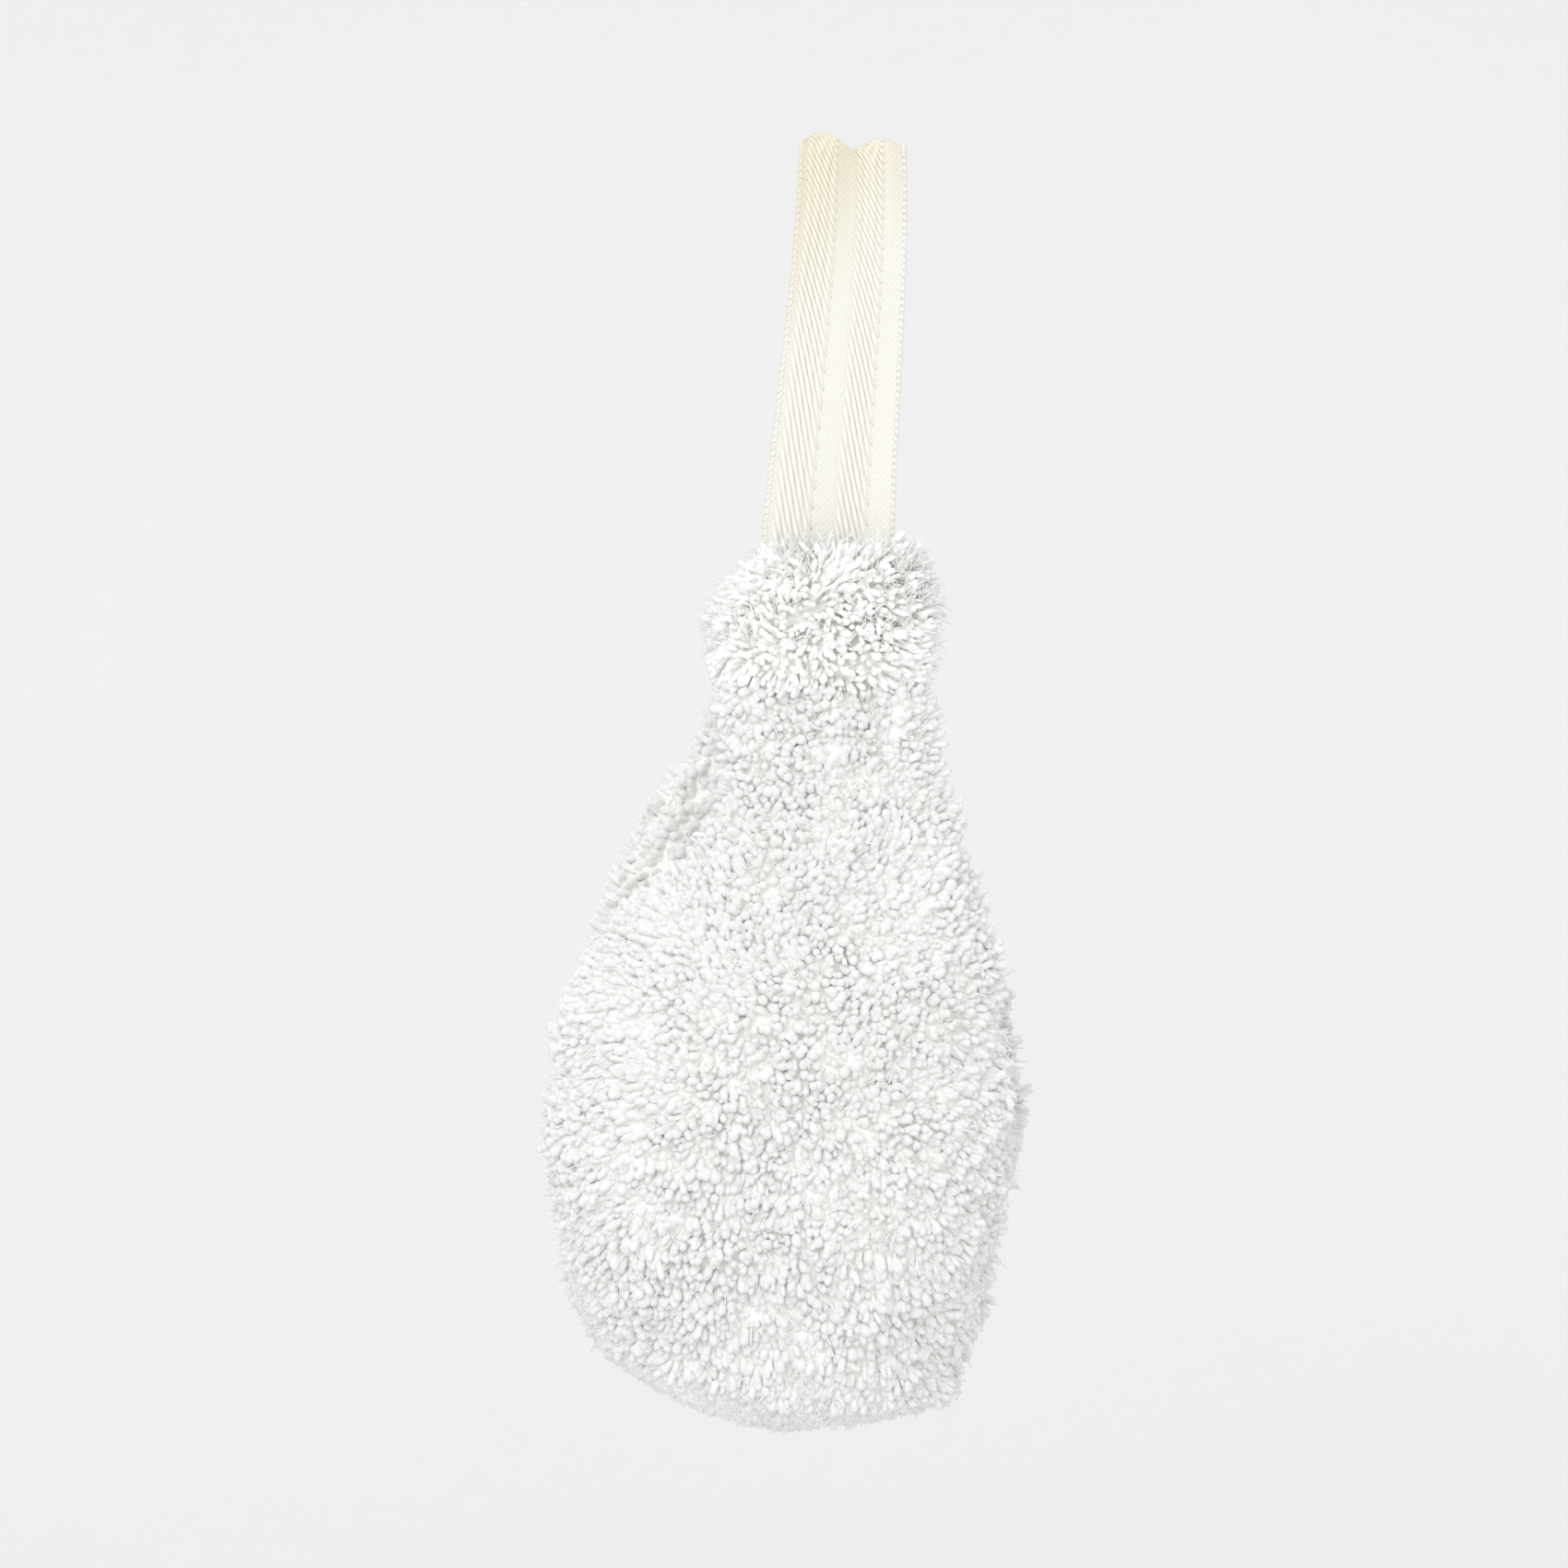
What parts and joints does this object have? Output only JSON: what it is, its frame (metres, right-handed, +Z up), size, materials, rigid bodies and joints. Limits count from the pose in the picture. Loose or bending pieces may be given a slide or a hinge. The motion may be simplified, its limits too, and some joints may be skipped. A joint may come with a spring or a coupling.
{
  "type": "spa headband",
  "caption": "Soft plush headband loop, gathered at both ends into short collars and closed by a flat woven elastic strap from which it hangs.",
  "frame": {"origin": "underside of the strap's crown, where the peg or hook it hangs from bears", "axes": "+X across the band from its left long edge to its right one, +Y through the loop from the near half to the far half, +Z up, against the way it hangs"},
  "size_m": [0.0884, 0.0714, 0.2418],
  "materials": {
    "elastic": "herringbone woven elastic, cream",
    "plush": "deep tufted plush, white",
    "thread": "twisted sewing thread, off-white"
  },
  "bodies": {
    "elastic": {"elastic_strap": "elastic"},
    "plush_band": {"outer_panel": "plush", "lining_panel": "plush", "near_collar": "plush", "far_collar": "plush", "near_collar_closing_stitch": "thread", "far_collar_closing_stitch": "thread", "near_strap_stitch_upper": "thread", "near_strap_stitch_lower": "thread", "near_gather_stitch": "thread", "far_strap_stitch_upper": "thread", "far_strap_stitch_lower": "thread", "far_gather_stitch": "thread", "left_seam_thread": "thread", "right_seam_thread": "thread"}
  },
  "joints": [
    {"name": "elastic_stretch", "type": "slide", "parent": "elastic", "child": "plush_band", "axis": [0, 0, -1], "range_m": [0, 0.06], "stiffness_N_per_m": 150, "deforming": ["elastic_strap"]}
  ]
}
